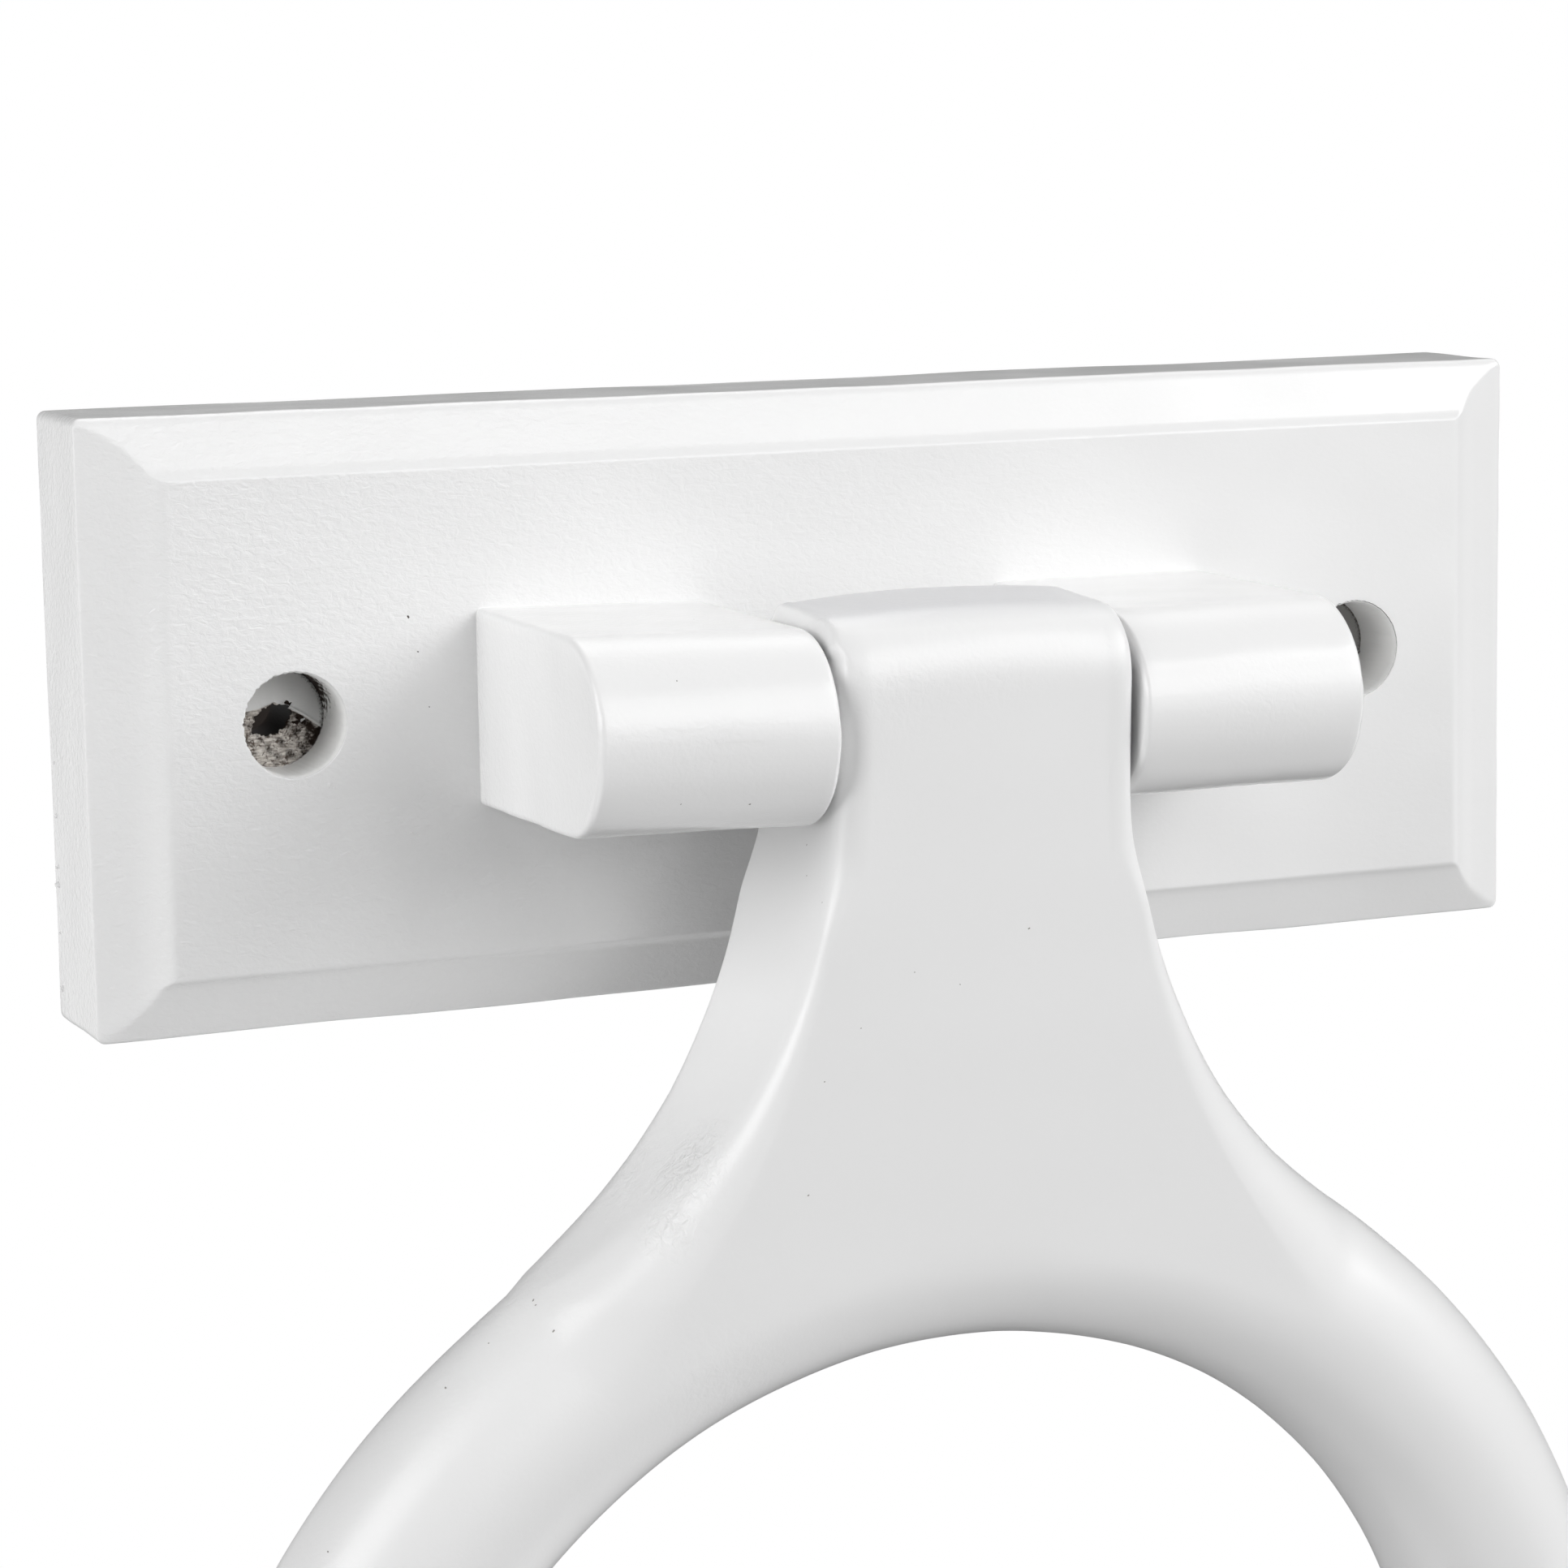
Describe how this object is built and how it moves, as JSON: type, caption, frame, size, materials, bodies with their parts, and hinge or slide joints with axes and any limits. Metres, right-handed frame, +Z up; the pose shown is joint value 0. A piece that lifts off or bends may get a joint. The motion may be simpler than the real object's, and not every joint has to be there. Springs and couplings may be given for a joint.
{
  "type": "towel ring",
  "caption": "Wall-mounted cast towel ring: a bevelled back plate with two lugs holds a heavy round ring that swings on a pin by its flat neck.",
  "frame": {"origin": "centre of the back plate's wall face", "axes": "+Z up, -Y away from the wall towards the viewer, +X to the viewer's right"},
  "size_m": [0.13, 0.0417, 0.1874],
  "materials": {
    "white_coat": "semi-gloss white powder coat over sand-cast iron",
    "pin_steel": "plain drawn steel"
  },
  "bodies": {
    "plate": {"wall_plate": "white_coat", "hinge_pin": "pin_steel"},
    "ring": {"towel_ring": "white_coat"}
  },
  "joints": [
    {"name": "ring_swing", "type": "hinge", "parent": "plate", "child": "ring", "pos_m": [0, -0.0341, 0], "axis": [1, 0, 0], "range_deg": [-192, 5.5]}
  ]
}
